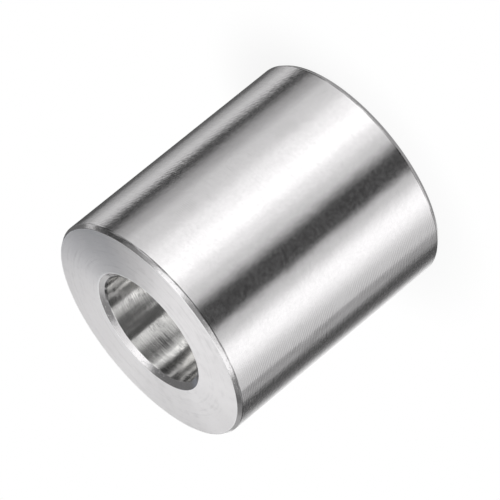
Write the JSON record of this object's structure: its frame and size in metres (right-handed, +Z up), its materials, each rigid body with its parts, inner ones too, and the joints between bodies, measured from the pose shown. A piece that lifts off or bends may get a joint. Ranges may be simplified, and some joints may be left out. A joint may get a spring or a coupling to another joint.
{
  "type": "spacer sleeve",
  "caption": "Turned cylindrical steel spacer sleeve with a plain through bore, chamfered rims and countersunk bore mouths.",
  "frame": {"origin": "centre of the lower end face, which is where the bore's axis meets the surface that the sleeve stands on", "axes": "+Z runs up the bore's axis; X and Y are any two directions across it, because the sleeve is round"},
  "size_m": [0.016, 0.016, 0.0175],
  "materials": {
    "turned_steel": "bright turned, with fine feed lines round the cylinder and rings on the end faces"
  },
  "bodies": {
    "root": {"sleeve": "turned_steel"}
  },
  "joints": []
}
